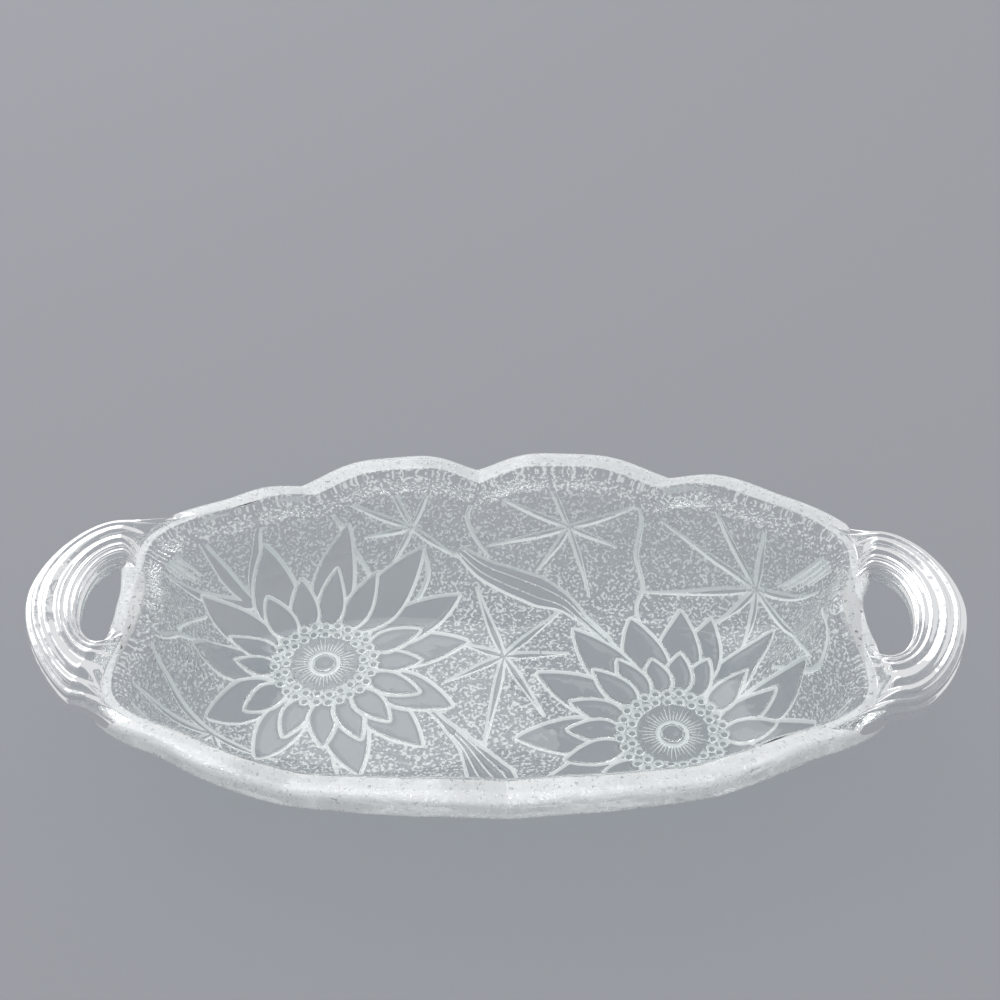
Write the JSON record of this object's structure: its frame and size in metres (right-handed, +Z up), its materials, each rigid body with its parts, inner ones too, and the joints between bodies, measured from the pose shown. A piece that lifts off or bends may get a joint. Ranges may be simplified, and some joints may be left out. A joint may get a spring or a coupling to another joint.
{
  "type": "relish tray",
  "caption": "Oval relish tray of clear pressed glass with a scalloped rim, ridged loop handles at both ends, and water lilies, buds and lily pads in relief underneath.",
  "frame": {"origin": "centre of the tray on the flat plane it rests on", "axes": "+Z up, +X along the tray from the left handle to the right handle, +Y across the tray towards its back"},
  "size_m": [0.2298, 0.1144, 0.0426],
  "materials": {
    "bowl_glass": "fire-polished clear glass, smooth inside, finely stippled between the relief outside",
    "handle_glass": "fire-polished clear glass with rounded ridges",
    "petal_glass": "fire-polished clear glass, smooth domed petals",
    "bead_glass": "fire-polished clear glass, half-round beads",
    "pad_glass": "clear glass, rounded ribs"
  },
  "bodies": {
    "root": {"bowl": "bowl_glass", "left_handle": "handle_glass", "right_handle": "handle_glass", "left_petals": "petal_glass", "right_petals": "petal_glass", "left_beads": "bead_glass", "right_beads": "bead_glass", "left_button": "bead_glass", "right_button": "bead_glass", "pad_veins": "pad_glass", "pad_edges": "pad_glass", "flower_buds": "petal_glass", "handle_combs": "pad_glass"}
  },
  "joints": []
}
